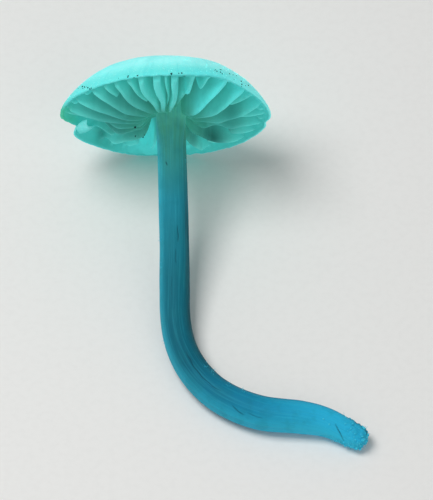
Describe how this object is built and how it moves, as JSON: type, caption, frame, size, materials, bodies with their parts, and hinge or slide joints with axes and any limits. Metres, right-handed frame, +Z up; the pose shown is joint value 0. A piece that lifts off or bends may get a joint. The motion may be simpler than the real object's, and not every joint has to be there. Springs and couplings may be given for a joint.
{
  "type": "mushroom",
  "caption": "Small picked mushroom lying on its back: flattened domed cap with broad distant gills and a long slender stem bent into a J at its foot.",
  "frame": {"origin": "on the surface that the mushroom lies on, under the middle of its box", "axes": "+Z up from that surface; +Y along the lying mushroom from the stem's foot to the cap; +X to the side that the stem's foot bends to"},
  "size_m": [0.0462, 0.06, 0.0306],
  "materials": {
    "cap": "matt, faintly velvety skin, bright cyan under ultraviolet light",
    "gills": "matt, moist gill flesh, teal with brighter edges",
    "stem": "silky lengthwise fibres, blue-cyan and paler at the foot"
  },
  "bodies": {
    "root": {"cap": "cap", "gills": "gills", "stem": "stem"}
  },
  "joints": []
}
